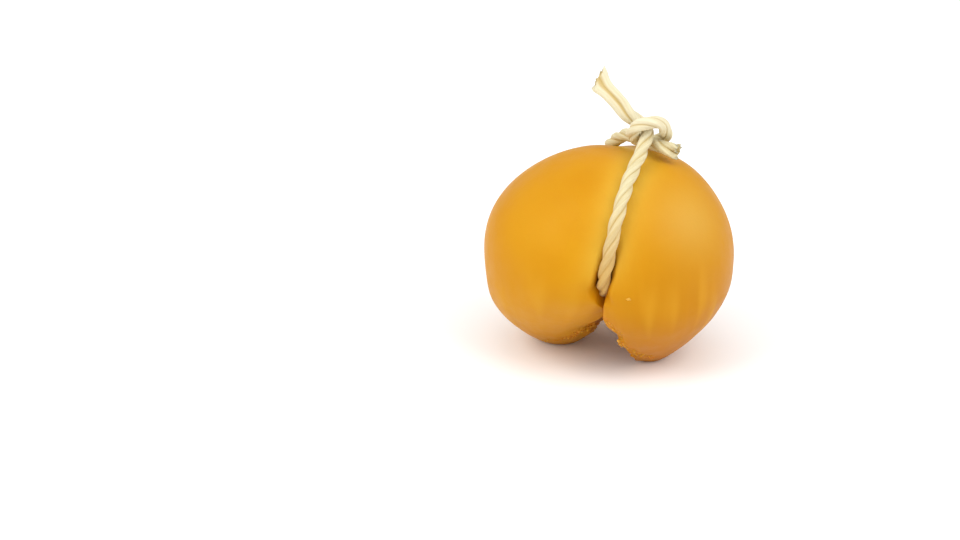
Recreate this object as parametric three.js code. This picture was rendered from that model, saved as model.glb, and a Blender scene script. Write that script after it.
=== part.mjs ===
import * as THREE from "three";

// A ball of smoked stretched-curd cheese tied round with a twisted cord.
// Millimetres, +Z up. The two lobes lie left and right along X, the tie runs front to back along Y.

// Dome
const HALF_WIDTH = 45.8;
const HALF_DEPTH = 40;
const DOME_CENTRE_Z = 39;
const DOME_RISE = 38.5;
const DOME_DROP = 47;
const ROUNDNESS_UPPER = 2.0;
const ROUNDNESS_LOWER = 2.2;
const FIELD_SCALE = 40;
const SHOULDER_SWELL = { x: 24, y: 8, z: 72, reach: 16, lift: 2.0 };
const LUMP_HEIGHT = 0.35;

// Feet, the two small flats that the lobe tips stand on
const FOOT_RIGHT = { x: 18, y: 1.5, outerSpread: 1.36 };
const FOOT_LEFT = { x: -22.5, y: 6, outerSpread: 1 };
const FOOT_RADIUS = 10.5;
const FOOT_BACK_SPREAD = 0.85;
const FOOT_SLOPE = THREE.MathUtils.degToRad(40);
const FOOT_BLEND = 9;
const FOOT_INNER_SPREAD = 0.78;
const FLOOR_ROUNDING = 0.4;

// Tie groove
const TIE_MID_X = 5.7;
const TIE_LEAN = 0.14;
const TIE_BOW = 0.9;
const TIE_BOW_RISE = 17;
const TIE_BOW_SPREAD = 15;
const TIE_BACK_SHIFT = 17;
const MOUTH_SHIFT = 1.8;
const MOUTH_DEPTH = 8;
const MOUTH_FULL_DEPTH = 3;
const VALLEY_DEPTH_LOW = 3.5;
const VALLEY_DEPTH_TOP = 1;
const VALLEY_SPREAD = 8.5;
const VALLEY_SPREAD_UPPER_RIGHT = 6;
const CHANNEL_DEPTH_LOW = 7.5;
const CHANNEL_DEPTH_TOP = 1.2;
const CHANNEL_SPREAD = 3.9;

// Cleft between the lobes under the tie
const FOLD_Z = 29;
const FOLD_RISE = 22;
const SLOT_HALF = 3.6;
const SLOT_SPREAD_LEFT = 0.04;
const SLOT_OPENING_RIGHT = 6;
const SLOT_LEAN_RIGHT = 0.35;
const SLOT_CLOSED_Z = 27;
const SLOT_OPEN_Z = 15;
const RIM_ROUNDING = 2.5;
const TEAR_HEIGHT = 0.8;
const TEAR_REACH = 2.6;
const TEAR_TOP_Z = 27;
const TEAR_FULL_Z = 15;

// Surface grid of the cheese, pushed out along rays from a point high on the tie
const RAY_CENTRE_Z = 62;
const RAY_SPREAD = 18;
const RAY_TURN = 0.26;
const GRID_ROWS = 46;
const GRID_COLUMNS = 88;
const GROOVE_DENSITY = 0.32;
const SLOT_DENSITY = 0.12;
const BASE_DENSITY = 0.2;
const RAY_START = 3;
const RAY_STEP = 1.5;
const RAY_END = 110;

// Cord
const CORD_RADIUS = 2.4;
const CORD_STRANDS = 3;
const CORD_STRAND_BULGE = 0.07;
const CORD_LAY = 26;
const CORD_ROOM = 3.3;
const ROOM_DIRECTIONS = 12;
const CORD_SLACK = 0.6;
const CORD_STATION = 1.9;
const CORD_SIDES = 12;
const LOOP_FRONT_END = THREE.MathUtils.degToRad(156);
const LOOP_BACK_END = THREE.MathUtils.degToRad(218);
const LOOP_STEP = THREE.MathUtils.degToRad(3);

// Knot above the crest, where the back strand wraps round the front strand
const KNOT_CENTRE = new THREE.Vector3(12.4, 3.2, 86);
const KNOT_TURN = THREE.MathUtils.degToRad(17);
const KNOT_TILT = THREE.MathUtils.degToRad(24);
const WRAP_START = THREE.MathUtils.degToRad(-90);
const WRAP_END = THREE.MathUtils.degToRad(262);
const WRAP_STEP = THREE.MathUtils.degToRad(32);
const WRAP_SETTLE_FROM = THREE.MathUtils.degToRad(-80);
const WRAP_SETTLE_TO = THREE.MathUtils.degToRad(12);
const WRAP_INNER = 5.6;
const WRAP_OUTER = 10.9;
const WRAP_SHIFT = 0.3;
const WRAP_RISE = -0.3;
const WRAP_SLANT = 2.85;
const WRAP_HIGH_SIDE = THREE.MathUtils.degToRad(80);

// Loose end of the long tail, fanned out flat and cut on a slant
const TAIL_FAN_LENGTH = 10;
const TAIL_FAN_WIDTH = 1.55;
const TAIL_FAN_THICKNESS = 0.7;
const TAIL_CUT_SLANT = 0.64;

function smoothStep(from, to, value) {
  const t = THREE.MathUtils.clamp((value - from) / (to - from), 0, 1);
  return t * t * (3 - 2 * t);
}

function smoothMax(a, b, blend) {
  const h = Math.max(blend - Math.abs(a - b), 0) / blend;
  return Math.max(a, b) + h * h * blend * 0.25;
}

function bell(distance, spread) {
  return Math.exp(-((distance / spread) ** 2));
}

// Sideways position of the tie: it leans to the right on its way up the front
// and falls to the left on its way down the back.
function tieX(y, z) {
  const h = z - DOME_CENTRE_Z;
  const front = TIE_MID_X + TIE_LEAN * h + TIE_BOW * bell(h - TIE_BOW_RISE, TIE_BOW_SPREAD);
  return front - TIE_BACK_SHIFT * smoothStep(2, 22, y) * smoothStep(-20, 34, h);
}

function lump(x, y, z) {
  return Math.sin(x * 0.11 + 0.7) * Math.sin(y * 0.13 + 1.9) + Math.sin(z * 0.14 + x * 0.06);
}

function tear(x, y, z) {
  const coarse = Math.sin(x * 0.83 + 1.3) * Math.sin(y * 0.71 + 0.4) + Math.sin(z * 0.97 + y * 0.38);
  const fine = Math.sin(x * 1.7 - y * 1.2 + 0.5) * Math.sin(z * 1.9 + y * 0.8);
  return 0.6 * coarse + 0.5 * fine;
}

// Each field is below zero inside the form and grows by about one for each millimetre outward.
function domeField(x, y, z) {
  const h = z - DOME_CENTRE_Z;
  const lower = smoothStep(10, -25, h);
  const power = ROUNDNESS_UPPER + (ROUNDNESS_LOWER - ROUNDNESS_UPPER) * lower;
  const halfHeight = h > 0 ? DOME_RISE : DOME_DROP;
  const sum = Math.abs(x / HALF_WIDTH) ** power + Math.abs(y / HALF_DEPTH) ** power
    + Math.abs(h / halfHeight) ** power;
  const s = SHOULDER_SWELL;
  const fromSwell = Math.hypot(x - s.x, y - s.y, z - s.z);
  return (sum ** (1 / power) - 1) * FIELD_SCALE - s.lift * bell(fromSwell, s.reach)
    + LUMP_HEIGHT * lump(x, y, z);
}

function footField(x, y, z) {
  const onRight = x > tieX(y, z);
  const foot = onRight ? FOOT_RIGHT : FOOT_LEFT;
  const outward = onRight ? x - foot.x : foot.x - x;
  const spread = outward * (outward < 0 ? FOOT_INNER_SPREAD : foot.outerSpread);
  const lengthwise = (y - foot.y) * (y > foot.y ? FOOT_BACK_SPREAD : 1);
  const reach = Math.hypot(spread, lengthwise) - FOOT_RADIUS;
  return reach * Math.sin(FOOT_SLOPE) - z * Math.cos(FOOT_SLOPE);
}

// Depth of the groove that the tie presses into the skin.
function grooveDepth(aside, z) {
  const h = z - DOME_CENTRE_Z;
  const valley = VALLEY_DEPTH_TOP + (VALLEY_DEPTH_LOW - VALLEY_DEPTH_TOP) * smoothStep(38, -5, h);
  const channel = CHANNEL_DEPTH_TOP + (CHANNEL_DEPTH_LOW - CHANNEL_DEPTH_TOP) * smoothStep(22, -4, h);
  const narrowing = aside > 0 ? smoothStep(0, 14, h) : 0;
  const spread = VALLEY_SPREAD + (VALLEY_SPREAD_UPPER_RIGHT - VALLEY_SPREAD) * narrowing;
  return valley * bell(aside, spread) + channel * bell(aside * aside, CHANNEL_SPREAD ** 2);
}

function cleftField(aside, y, z) {
  const foldZ = FOLD_Z + FOLD_RISE * (y / HALF_DEPTH) ** 2;
  const left = SLOT_SPREAD_LEFT * Math.max(FOLD_Z - z, 0);
  const lean = SLOT_LEAN_RIGHT * Math.max(SLOT_OPEN_Z - z, 0);
  const right = SLOT_OPENING_RIGHT * smoothStep(SLOT_CLOSED_Z, SLOT_OPEN_Z, z) + lean;
  const half = SLOT_HALF + (aside > 0 ? right : left);
  return Math.min(half - Math.abs(aside), foldZ - z);
}

// The groove's mouth opens a little to the left of the tie low on the front.
function cheeseField(x, y, z) {
  const form = smoothMax(domeField(x, y, z), footField(x, y, z), FOOT_BLEND);
  const mouth = smoothStep(-MOUTH_DEPTH, -MOUTH_FULL_DEPTH, form)
    * smoothStep(9, -3, z - DOME_CENTRE_Z) * smoothStep(0, -15, y);
  const aside = x - tieX(y, z) + MOUTH_SHIFT * mouth;
  const outer = form + grooveDepth(aside, z);
  const cleft = cleftField(aside, y, z);
  const torn = bell(outer - cleft, TEAR_REACH) * smoothStep(TEAR_TOP_Z, TEAR_FULL_Z, z);
  const body = smoothMax(outer, cleft, RIM_ROUNDING) + TEAR_HEIGHT * torn * tear(x, y, z);
  return smoothMax(body, -z, FLOOR_ROUNDING);
}

// Least field on a ball of the cord's size, so above zero where the cord has room.
function roomField(x, y, z) {
  let least = Math.min(cheeseField(x - CORD_ROOM, y, z), cheeseField(x + CORD_ROOM, y, z));
  for (let k = 0; k < ROOM_DIRECTIONS; k += 1) {
    const angle = 2 * Math.PI * k / ROOM_DIRECTIONS;
    for (const side of [-Math.SQRT1_2, 0, Math.SQRT1_2]) {
      const spread = CORD_ROOM * Math.sqrt(1 - side * side);
      least = Math.min(least, cheeseField(
        x + CORD_ROOM * side, y + spread * Math.cos(angle), z + spread * Math.sin(angle)));
    }
  }
  return least;
}

// Length along a line from inside to the place where a field rises through zero.
function solveLength(field, at) {
  let inside = RAY_START;
  let outside = RAY_START;
  while (outside < RAY_END && field(...at(outside)) < 0) {
    inside = outside;
    outside += RAY_STEP;
  }
  for (let i = 0; i < 40; i += 1) {
    const middle = (inside + outside) / 2;
    if (field(...at(middle)) < 0) {
      inside = middle;
    } else {
      outside = middle;
    }
  }
  return inside;
}

// A sphere grid with its poles at the two lobe ends; its rows close up along the tie,
// its columns close up under the cheese, and each point is pushed out to the surface.
function makeCheese() {
  const geometry = new THREE.SphereGeometry(1, GRID_COLUMNS, GRID_ROWS);
  const position = geometry.attributes.position;
  const start = new THREE.Vector3(0, 0, RAY_CENTRE_Z);
  for (let i = 0; i < position.count; i += 1) {
    const row = 1 - 2 * Math.acos(THREE.MathUtils.clamp(position.getY(i), -1, 1)) / Math.PI;
    const around = Math.atan2(position.getZ(i), -position.getX(i));
    const longitude = around - BASE_DENSITY * Math.sin(around);
    const density = GROOVE_DENSITY
      + (SLOT_DENSITY - GROOVE_DENSITY) * smoothStep(0.2, 0.8, Math.cos(longitude));
    const latitude = Math.PI / 2 * (density * row + (1 - density) * row ** 3);
    const ring = Math.cos(latitude);
    const y = HALF_DEPTH * ring * Math.sin(longitude);
    const z = DOME_CENTRE_Z * (1 - ring * Math.cos(longitude));
    const x = HALF_WIDTH * Math.sin(latitude) + tieX(y, z) * ring * ring;
    const apart = THREE.MathUtils.clamp(row / RAY_TURN, -1, 1) * smoothStep(55, 20, z);
    start.x = tieX(0, RAY_CENTRE_Z) + RAY_SPREAD * apart;
    const ray = new THREE.Vector3(x, y, z).sub(start).normalize();
    const at = (t) => [start.x + ray.x * t, start.y + ray.y * t, start.z + ray.z * t];
    position.setXYZ(i, ...at(solveLength(cheeseField, at)));
  }
  return geometry;
}

// Point of the cord's middle line on the tie, by the angle from straight down through the front.
function loopPoint(angle) {
  const at = (t) => {
    const y = -Math.sin(angle) * t;
    const z = DOME_CENTRE_Z - Math.cos(angle) * t;
    return [tieX(y, z), y, z];
  };
  return new THREE.Vector3(...at(solveLength(roomField, at) + CORD_SLACK));
}

// Knot directions: across to the right, up along the strand, and out to the front.
const knotRight = new THREE.Vector3(Math.cos(KNOT_TURN), Math.sin(KNOT_TURN), 0);
const knotFront = new THREE.Vector3(
  Math.sin(KNOT_TURN) * Math.cos(KNOT_TILT),
  -Math.cos(KNOT_TURN) * Math.cos(KNOT_TILT),
  Math.sin(KNOT_TILT));
const knotUp = new THREE.Vector3().crossVectors(knotFront, knotRight);

function knotPoint(right, up, front) {
  return KNOT_CENTRE.clone()
    .addScaledVector(knotRight, right)
    .addScaledVector(knotUp, up)
    .addScaledVector(knotFront, front);
}

function wrapPoint(angle) {
  const loose = 1 - smoothStep(WRAP_SETTLE_FROM, WRAP_SETTLE_TO, angle);
  const radius = WRAP_INNER + (WRAP_OUTER - WRAP_INNER) * loose;
  return knotPoint(
    WRAP_SHIFT + radius * Math.cos(angle),
    WRAP_RISE + WRAP_SLANT * Math.cos(angle - WRAP_HIGH_SIDE),
    radius * Math.sin(angle));
}

// The cord from the tip of the long tail, through the knot, down the front, under the cheese,
// up the back, round the front strand and out to the short stub.
function cordPoints() {
  const points = [
    knotPoint(-17.4, 18.5, 0),
    knotPoint(-12.8, 13.3, -1),
    knotPoint(-6.9, 6.9, -2),
    knotPoint(-3.2, 3.7, -2.5),
    knotPoint(0, 0.5, -0.3),
    knotPoint(-1, -4, 1.6),
  ];
  for (let angle = LOOP_FRONT_END; angle > LOOP_BACK_END - 2 * Math.PI; angle -= LOOP_STEP) {
    points.push(loopPoint(angle));
  }
  points.push(knotPoint(-6, -0.7, -14.2));
  for (let angle = WRAP_START; angle <= WRAP_END; angle += WRAP_STEP) {
    points.push(wrapPoint(angle));
  }
  points.push(knotPoint(3.4, -4.9, -2.7), knotPoint(6.6, -6.4, 0.3), knotPoint(10.5, -7.3, 1.8));
  return points;
}

// A path whose section turns steadily along it, as the strands of a laid cord do.
class LaidPath extends THREE.CatmullRomCurve3 {
  computeFrenetFrames(segments, closed) {
    const frames = super.computeFrenetFrames(segments, closed);
    const length = this.getLength();
    for (let i = 0; i <= segments; i += 1) {
      const turn = 2 * Math.PI * length * i / segments / CORD_LAY;
      frames.normals[i].applyAxisAngle(frames.tangents[i], turn);
      frames.binormals[i].applyAxisAngle(frames.tangents[i], turn);
    }
    return frames;
  }
}

function cordSection() {
  const outline = [];
  for (let k = 0; k < CORD_SIDES; k += 1) {
    const angle = 2 * Math.PI * k / CORD_SIDES;
    const radius = CORD_RADIUS * (1 + CORD_STRAND_BULGE * Math.cos(CORD_STRANDS * angle));
    outline.push(new THREE.Vector2(radius * Math.cos(angle), radius * Math.sin(angle)));
  }
  return new THREE.Shape(outline);
}

// Spreads the last stretch of the long tail sideways, thins it and slants its cut end.
function fanTail(geometry, path) {
  const tip = path.getPointAt(0);
  const root = path.getPointAt(TAIL_FAN_LENGTH / path.getLength());
  const axis = new THREE.Vector3().subVectors(tip, root);
  const length = axis.length();
  axis.divideScalar(length);
  const wide = new THREE.Vector3().crossVectors(knotFront, axis).normalize();
  const thick = new THREE.Vector3().crossVectors(axis, wide);
  const position = geometry.attributes.position;
  const point = new THREE.Vector3();
  for (let i = 0; i < position.count; i += 1) {
    point.fromBufferAttribute(position, i);
    const offset = point.clone().sub(root);
    const along = offset.dot(axis);
    const reach = offset.length();
    if (along > 0 && reach < length * 1.2) {
      const fan = smoothStep(0, length, along);
      const across = offset.dot(wide);
      const through = offset.dot(thick);
      point.addScaledVector(wide, across * (TAIL_FAN_WIDTH - 1) * fan);
      point.addScaledVector(thick, through * (TAIL_FAN_THICKNESS - 1) * fan);
      point.addScaledVector(axis, -across * TAIL_CUT_SLANT * fan ** 4);
      position.setXYZ(i, point.x, point.y, point.z);
    }
  }
}

function makeCord() {
  const path = new LaidPath(cordPoints(), false, "centripetal");
  const geometry = new THREE.ExtrudeGeometry(cordSection(), {
    steps: Math.round(path.getLength() / CORD_STATION),
    bevelEnabled: false,
    extrudePath: path,
  });
  fanTail(geometry, path);
  return geometry;
}

function makeMesh(name, geometry, colour, roughness) {
  geometry.computeVertexNormals();
  const material = new THREE.MeshStandardMaterial({ color: colour, roughness, metalness: 0 });
  material.name = name;
  const mesh = new THREE.Mesh(geometry, material);
  mesh.name = name;
  return mesh;
}

const part = new THREE.Group();
part.name = "smoked_scamorza";
part.add(makeMesh("cheese", makeCheese(), 0xdf9a1c, 0.45));
part.add(makeMesh("cord", makeCord(), 0xf2e6c0, 0.85));

export default part;
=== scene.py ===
import math

import bmesh
import bpy
import numpy as np
from mathutils import Matrix, Vector, noise


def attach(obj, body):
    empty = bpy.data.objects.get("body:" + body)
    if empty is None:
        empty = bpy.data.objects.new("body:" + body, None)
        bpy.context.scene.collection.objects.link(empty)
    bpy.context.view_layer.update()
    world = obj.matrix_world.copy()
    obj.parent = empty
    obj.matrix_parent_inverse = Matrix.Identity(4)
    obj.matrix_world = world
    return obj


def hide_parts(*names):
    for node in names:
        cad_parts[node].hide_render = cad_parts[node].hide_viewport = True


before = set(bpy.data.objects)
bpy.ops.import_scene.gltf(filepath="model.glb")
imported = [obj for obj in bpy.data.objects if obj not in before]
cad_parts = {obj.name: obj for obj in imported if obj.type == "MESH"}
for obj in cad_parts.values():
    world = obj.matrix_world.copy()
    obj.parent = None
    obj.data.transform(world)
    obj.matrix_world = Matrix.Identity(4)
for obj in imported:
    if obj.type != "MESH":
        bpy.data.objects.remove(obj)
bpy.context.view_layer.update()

# Lengths are in millimetres: Z is a height above the floor and H one above the middle of the dome
MM = 0.001

# Dome
HALF_WIDTH = 45.8
HALF_DEPTH = 40
DOME_CENTRE_Z = 39
DOME_RISE = 38.5
DOME_DROP = 47
ROUNDNESS_UPPER = 2.0
ROUNDNESS_LOWER = 2.2
ROUNDNESS_UPPER_H = 10
ROUNDNESS_LOWER_H = -25
FIELD_SCALE = 40
SWELL_CENTRE = (24, 8, 72)
SWELL_REACH = 16
SWELL_LIFT = 2.0
LUMP_HEIGHT = 0.35
LUMP_WAVES = (0.11, 0.13, 0.14, 0.06)
LUMP_PHASES = (0.7, 1.9)

# Feet
FOOT_RIGHT_X = 18
FOOT_RIGHT_Y = 1.5
FOOT_RIGHT_SPREAD = 1.36
FOOT_LEFT_X = -22.5
FOOT_LEFT_Y = 6
FOOT_LEFT_SPREAD = 1
FOOT_RADIUS = 10.5
FOOT_BACK_SPREAD = 0.85
FOOT_SLOPE = math.radians(40)
FOOT_BLEND = 9
FOOT_INNER_SPREAD = 0.78
FLOOR_ROUNDING = 0.4

# Tie groove: a wide valley, and the narrow channel in it that the cord lies in
TIE_MID_X = 5.7
TIE_LEAN = 0.14
TIE_BOW = 0.9
TIE_BOW_H = 17
TIE_BOW_SPREAD = 15
TIE_BACK_SHIFT = 17
TIE_BACK_FROM_Y = 2
TIE_BACK_FULL_Y = 22
TIE_BACK_FROM_H = -20
TIE_BACK_FULL_H = 34
VALLEY_DEPTH_LOW = 3.5
VALLEY_DEPTH_TOP = 1
VALLEY_LOW_H = -5
VALLEY_TOP_H = 38
VALLEY_SPREAD = 8.5
VALLEY_SPREAD_UPPER_RIGHT = 6
VALLEY_WIDE_H = 0
VALLEY_NARROW_H = 14
CHANNEL_DEPTH_LOW = 7.5
CHANNEL_DEPTH_TOP = 1.2
CHANNEL_LOW_H = -4
CHANNEL_TOP_H = 22
CHANNEL_SPREAD = 3.9

# Mouth of the cleft, which lies a little to the left of the tie at the front
MOUTH_SHIFT = 1.8
MOUTH_DEPTH = 8
MOUTH_FULL_DEPTH = 3
MOUTH_TOP_H = 9
MOUTH_FULL_H = -3
MOUTH_FROM_Y = 0
MOUTH_FULL_Y = -15

# Cleft between the lobes
FOLD_Z = 29
FOLD_RISE = 22
SLOT_HALF = 3.6
SLOT_SPREAD_LEFT = 0.04
SLOT_OPENING_RIGHT = 6
SLOT_LEAN_RIGHT = 0.35
SLOT_CLOSED_Z = 27
SLOT_OPEN_Z = 15
RIM_ROUNDING = 2.5

# Torn rims of the cleft
TEAR_HEIGHT = 0.8
TEAR_REACH = 2.6
TEAR_TOP_Z = 27
TEAR_FULL_Z = 15
TEAR_COARSE_SHARE = 0.6
TEAR_COARSE_WAVES = (0.83, 0.71, 0.97, 0.38)
TEAR_COARSE_PHASES = (1.3, 0.4)
TEAR_FINE_SHARE = 0.5
TEAR_FINE_WAVES = (1.7, 1.2, 1.9, 0.8)
TEAR_FINE_PHASE = 0.5

# Surface grid, finer than that of the solid, on rays from a short line inside the dome
GRID_ROWS = 200
GRID_COLUMNS = 420
GROOVE_DENSITY = 0.32
SLOT_DENSITY = 0.12
SLOT_DENSITY_FROM = 0.2
SLOT_DENSITY_FULL = 0.8
BASE_DENSITY = 0.2
RAY_CENTRE_Z = 62
RAY_SPREAD = 18
RAY_SPREAD_FROM_Z = 55
RAY_SPREAD_FULL_Z = 20
RAY_TURN = 0.26
RAY_START = 3
RAY_STEP = 1.5
RAY_END = 110
BISECTIONS = 26

# Channel closed up against the cord, so that it is shallower and narrower than the solid's
CLOSED_RISE = 1.3
CLOSED_SPREAD = 2.9
CLOSED_LEFT_FULL_Z = 46
CLOSED_LEFT_END_Z = 34
CLOSED_RIGHT_FULL_Z = 40
CLOSED_RIGHT_END_Z = 32
CLOSED_BLEND = 1.5

# Cleft narrowed to hug the cord, and its mouth pinched below the cord to a crease right of the tie
HUG_HALF = 2.4
HUG_FROM_Y = 10
HUG_FULL_Y = 20
PINCH_TOP_Z = 40.5
PINCH_FULL_Z = 33.5
PINCH_SHUT_Z = 21
PINCH_OPEN_Z = 13
PINCH_DEPTH = 26
PINCH_FULL_DEPTH = 16
PINCH_HALF = 0.7
PINCH_FILL = 0.95
PINCH_VALLEY_FILL = 0.25
PINCH_RIM_ROUNDING = 1.3
CREASE_SHIFT = 2.2

# Rims of the mouth drawn together, and the left lobe's cheek at their lower end
RIM_DRAW_LEFT = 0.35
RIM_DRAW_RIGHT = 1.15
RIM_DRAW_REACH = 5
RIM_DRAW_HEIGHTS = (18, 23, 37, 47)
RIM_DRAW_FROM_Y = 10
RIM_DRAW_FULL_Y = 24
CHEEK_DRAW = 0.8
CHEEK_Z = 18
CHEEK_SPREAD = 4

# Fine relief of the skin and the lips
OUTSIDE_BLEND = 1
RELIEF_FROM_Z = 0.05
RELIEF_FULL_Z = 1.2
TATTER_HEIGHT = 0.38
TATTER_SIZE = 1.5
FLAKE_HEIGHT = 0.35
FLAKE_SIZE = 0.7
FLAKE_OFFSET = 7.3
STREAK_HEIGHT = 0.12
STREAK_COUNT = 9
STREAK_LENGTH = 26
STREAK_OFFSET = 3.1
STREAK_TOP_Z = 62
STREAK_FULL_Z = 25

# Places where the skin is paler beside the tie, partly its own unsmoked band and partly painted light that
# lifts the groove's shade, with a painted highlight near the top on the right; a painted highlight on the
# right shoulder; and where the skin is deeper, low down
PALE_SPREAD = 7.5
PALE_FROM_Z = 36
PALE_FULL_Z = 54
PALE_RIGHT = 0.75
PALE_RIGHT_FROM_Z = 66
PALE_RIGHT_FULL_Z = 74
# Painted highlight: a paler patch on the right shoulder where a lamp's highlight falls
PAINTED_HIGHLIGHT_PLACE = (33, -14.5, 61)
PAINTED_HIGHLIGHT_REACH = 13
LOW_TONE_TOP_Z = 60
LOW_TONE_FULL_Z = 8
LOW_TONE_LEFT = 0.15
LOW_TONE_LEFT_X = -10
LOW_TONE_RIGHT_X = 20

# Lips where the skin tore at the ends of the lobes
LEFT_LIP = (
    (-21, -9, 4.4),
    (-14.5, -11, 7),
    (-9.8, -9.5, 8.2),
    (-6.8, -12.7, 12.2),
    (-4.2, -7, 11.4),
)
RIGHT_LIP = (
    (8, -33, 26),
    (10.6, -31, 21.3),
    (11.1, -26.5, 15.8),
    (14.9, -22, 11.6),
    (17, -17.6, 7.7),
    (21.5, -12.6, 5.2),
)
LIP_WIDTH = 2.1
RIM_TORN_SHARE = 0.5
RIM_TORN_TOP_Z = 14
RIM_TORN_FULL_Z = 8

# Crumbs that cling to the lips
CRUMB_SEED = 11
CRUMB_COUNT = 270
CRUMB_RADIUS_LEAST = 0.18
CRUMB_RADIUS_MOST = 0.58
CRUMB_RADIUS_POWER = 2.5
CRUMB_SINK = 0.2
CRUMB_TONE_LEAST = 0.2
CRUMB_SUBDIVISIONS = 2
CRUMB_LUMP_HEIGHT = 0.6
CRUMB_LUMP_SIZE = 0.7
CRUMB_LUMP_OFFSETS = 50
CRUMB_STRETCH_LEAST = 0.45
CRUMB_STRETCH_MOST = 1.4

# A crack and a stuck speck on the front of the right lobe
CRACK = ((10.3, -37, 34.2), (10.1, -35.5, 28.4))
CRACK_WIDTH = 0.6
CRACK_DEPTH = 0.3
SPECK_PLACE = (16.3, -37.1, 38.1)
SPECK_RADIUS = 0.7
SPECK_TONE = 1.0

# Cord and its loop round the cheese
CORD_RADIUS = 2.45
CORD_LAY = 26
CORD_ROOM = 3.3
CORD_SLACK = 0.6
CORD_STATION = 0.45
CURVE_STEPS = 32
ROOM_DIRECTIONS = 12
ROOM_SIDES = (-math.sqrt(0.5), 0, math.sqrt(0.5))
LOOP_FRONT_END = 156
LOOP_BACK_END = 218
LOOP_STEP = 3

# Strands that the cord is laid from
STRANDS = 3
STRAND_RADIUS = 1.45
STRAND_SIDES = 28
STRAND_CREASE_DEPTH = 0.03
STRAND_CREASE_WAVES = (3, 5)
STRAND_CREASE_PHASE = 1.7
STRAND_CREASE_DRIFT = 0.11
STRAND_END_OUTWARD = 0.5
FIBRE_STRETCH = 0.05
FIBRE_OFFSET = 11.3

# Knot, with places given to the right of its centre, above it and in front of it
KNOT_CENTRE = np.array((12.4, 3.2, 86))
KNOT_TURN = math.radians(17)
KNOT_TILT = math.radians(24)
WRAP_START = -90
WRAP_END = 262
WRAP_STEP = 32
WRAP_SETTLE_FROM = -80
WRAP_SETTLE_TO = 12
WRAP_INNER = 5.6
WRAP_OUTER = 10.9
WRAP_SHIFT = 0.3
WRAP_RISE = -0.3
WRAP_SLANT = 2.85
WRAP_HIGH_SIDE = 80
TAIL_PLACES = (
    (-17.4, 18.6, 0),
    (-15.8, 15.9, -0.5),
    (-13, 12.9, -1),
    (-9.9, 9.6, -1.5),
    (-6.9, 6.2, -2),
    (-3.3, 3.5, -2.5),
    (0, 0.5, -0.3),
    (-1, -4, 1.6),
)
LOOP_END_PLACE = (-6, -0.7, -14.2)
STUB_PLACES = (
    (3.4, -4.9, -2.7),
    (6.6, -6.4, 0.3),
    (10.5, -7.3, 1.8),
)

# Loose ends of the cord, by the length from the tip
TAIL_FAN_LENGTH = 10
TAIL_FLARE_LENGTH = 7
TAIL_FLARE = 0.6
TAIL_FLARE_POWER = 1.4
TAIL_STRAND_WIDENING = 0.3
TAIL_THINNING = 0.4
TAIL_BELLY = 0.32
TAIL_BELLY_FROM = 24
TAIL_BELLY_FULL = 12
TAIL_CUT_SLANT = 0.64
TAIL_CUT_POWER = 4
TAIL_STRAND_RADIUS = 1.3
TAIL_UNTWIST_FROM = 8
TAIL_UNTWIST_TO = 26
STUB_SPLAY_LENGTH = 6
STUB_SPLAY = 0.7
FRAY_LENGTH = 3
FRAY_DEPTH = 0.9
FRAY_WAVES = (4, 7)
FRAY_PHASE = 2.3

# Heights where the cord is browner at the front, partly stained by the cheese and partly painted shade and
# warm bounce light, and where painted light makes it palest, at the knot and tail
CORD_STAIN_AND_SHADE_TOP_Z = 78
CORD_STAIN_AND_SHADE_FULL_Z = 42
CORD_PAINTED_LIGHT_FROM_Z = 80
CORD_PAINTED_LIGHT_FULL_Z = 88

# Colours as a screen shows them, from 0 to 255, and the greatest share that some of them take
SKIN_DARKER = (194, 130, 6)
SKIN_LIGHTER = (200, 138, 10)
SKIN_LOW = (180, 112, 8)
SKIN_STREAK = (208, 150, 34)
SKIN_STREAK_SHARE = 0.55
# Partly the skin's own unsmoked band beside the tie, partly painted light that lifts the groove's shade,
# with a painted highlight near the top
SKIN_PALE_BAND_AND_LIGHT = (218, 176, 62)
SKIN_PALE_BAND_AND_LIGHT_SHARE = 0.85
# Painted highlight on the right shoulder
SKIN_PAINTED_HIGHLIGHT = (206, 160, 72)
SKIN_PAINTED_HIGHLIGHT_SHARE = 0.6
# Painted shade: the cleft's inner faces are darker where shade falls between the lobes
SKIN_PAINTED_CLEFT_SHADE = (176, 100, 6)
SKIN_PAINTED_CLEFT_SHADE_SHARE = 0.8
SKIN_TORN = (196, 116, 18)
SKIN_CRUMB = (216, 158, 60)
CORD_DARKER = (205, 190, 142)
CORD_LIGHTER = (221, 212, 176)
# Painted light: the cord is painted paler high up, at the knot and tail
CORD_PAINTED_TOP_LIGHT = (226, 219, 192)
CORD_PAINTED_TOP_LIGHT_SHARE = 0.55
CORD_BAND = (204, 184, 128)
CORD_BAND_SHARE = 0.5
# Painted shade in the valleys between the cord's strands
CORD_PAINTED_VALLEY_SHADE = (188, 157, 76)
CORD_PAINTED_VALLEY_SHADE_SHARE = 0.8
# Partly a stain from the cheese, partly painted shade and warm bounce light on the cord's lower front
CORD_STAIN_AND_SHADE = (192, 147, 58)
CORD_STAIN_AND_SHADE_SHARE = 0.85

# Camera, from the picture's frame of 960 by 540
IMAGE_WIDTH = 960
IMAGE_HEIGHT = 540
CAMERA_AZIMUTH = math.radians(17)
CAMERA_ELEVATION = math.radians(24)
CAMERA_DISTANCE = 0.84
CAMERA_LENS = 85
SENSOR_WIDTH = 36
ORIGIN_PIXEL = (606, 347.8)

# Floor, in metres from its middle to each side
FLOOR_REACH = 4.0


# Curves and blends

def smooth_step(start, end, value):
    t = np.clip((value - start) / (end - start), 0, 1)
    return t * t * (3 - 2 * t)


def smooth_max(a, b, blend):
    h = np.maximum(blend - np.abs(a - b), 0) / blend
    return np.maximum(a, b) + h * h * blend * 0.25


def bell(distance, spread):
    return np.exp(-((distance / spread) ** 2))


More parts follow.
